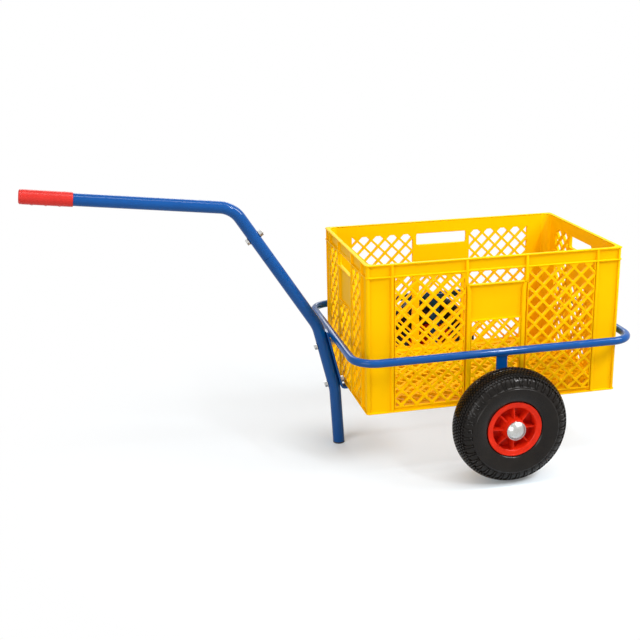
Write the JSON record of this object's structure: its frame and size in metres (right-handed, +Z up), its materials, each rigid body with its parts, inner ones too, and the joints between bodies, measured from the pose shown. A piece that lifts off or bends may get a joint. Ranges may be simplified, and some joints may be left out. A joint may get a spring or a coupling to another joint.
{
  "type": "hand cart",
  "caption": "Two-wheeled hand cart: a removable lattice crate in a tube ring, carried on straps over an axle, with a bent tubular drawbar that ends as a standing leg.",
  "frame": {"origin": "on the floor, under the middle of the whole cart's length and width", "axes": "+X back along the cart from the handle to the crate, +Y to the right of someone who pulls it, +Z up"},
  "size_m": [1.3339, 0.6926, 0.6573],
  "materials": {
    "blue_coat": "glossy blue powder coat on steel",
    "crate_yellow": "semi-gloss yellow moulded plastic",
    "grip_red": "smooth red soft plastic",
    "rim_red": "semi-gloss red moulded plastic",
    "tyre_black": "black rubber with block tread",
    "plug_black": "black plastic",
    "zinc": "bright zinc plate",
    "steel": "drawn and ground steel",
    "cage_plastic": "natural nylon"
  },
  "bodies": {
    "wheel_left": {"tyre_left": "tyre_black", "rim_left": "rim_red", "bearing_sleeve_left": "steel", "roller_cage_left": "cage_plastic", "rollers_left": "steel"},
    "wheel_right": {"tyre_right": "tyre_black", "rim_right": "rim_red", "bearing_sleeve_right": "steel", "roller_cage_right": "cage_plastic", "rollers_right": "steel"},
    "crate": {"crate": "crate_yellow"},
    "frame": {"ring_tube": "blue_coat", "cross_strap": "blue_coat", "keel_strap_front": "blue_coat", "keel_strap_rear": "blue_coat", "drawbar_lower": "blue_coat", "drawbar_upper": "blue_coat", "grip": "grip_red", "foot_plug": "plug_black", "joint_bolt": "zinc", "joint_washers": "zinc", "joint_nut": "zinc", "leg_bolts": "zinc", "leg_washers": "zinc", "leg_nuts": "zinc", "hub_cap_left": "zinc", "hub_cap_right": "zinc", "hub_shims_left": "zinc", "hub_shims_right": "zinc", "axle_collar_left": "zinc", "axle_collar_right": "zinc", "axle": "steel"}
  },
  "joints": [
    {"name": "left_wheel_spin", "type": "hinge", "parent": "frame", "child": "wheel_left", "pos_m": [0.33647, 0, 0.13], "axis": [0, 1, 0], "continuous": true},
    {"name": "right_wheel_spin", "type": "hinge", "parent": "frame", "child": "wheel_right", "pos_m": [0.33647, 0, 0.13], "axis": [0, 1, 0], "continuous": true},
    {"name": "crate_lift", "type": "slide", "parent": "frame", "child": "crate", "axis": [0, 0, 1], "range_m": [0, 0.2]}
  ]
}
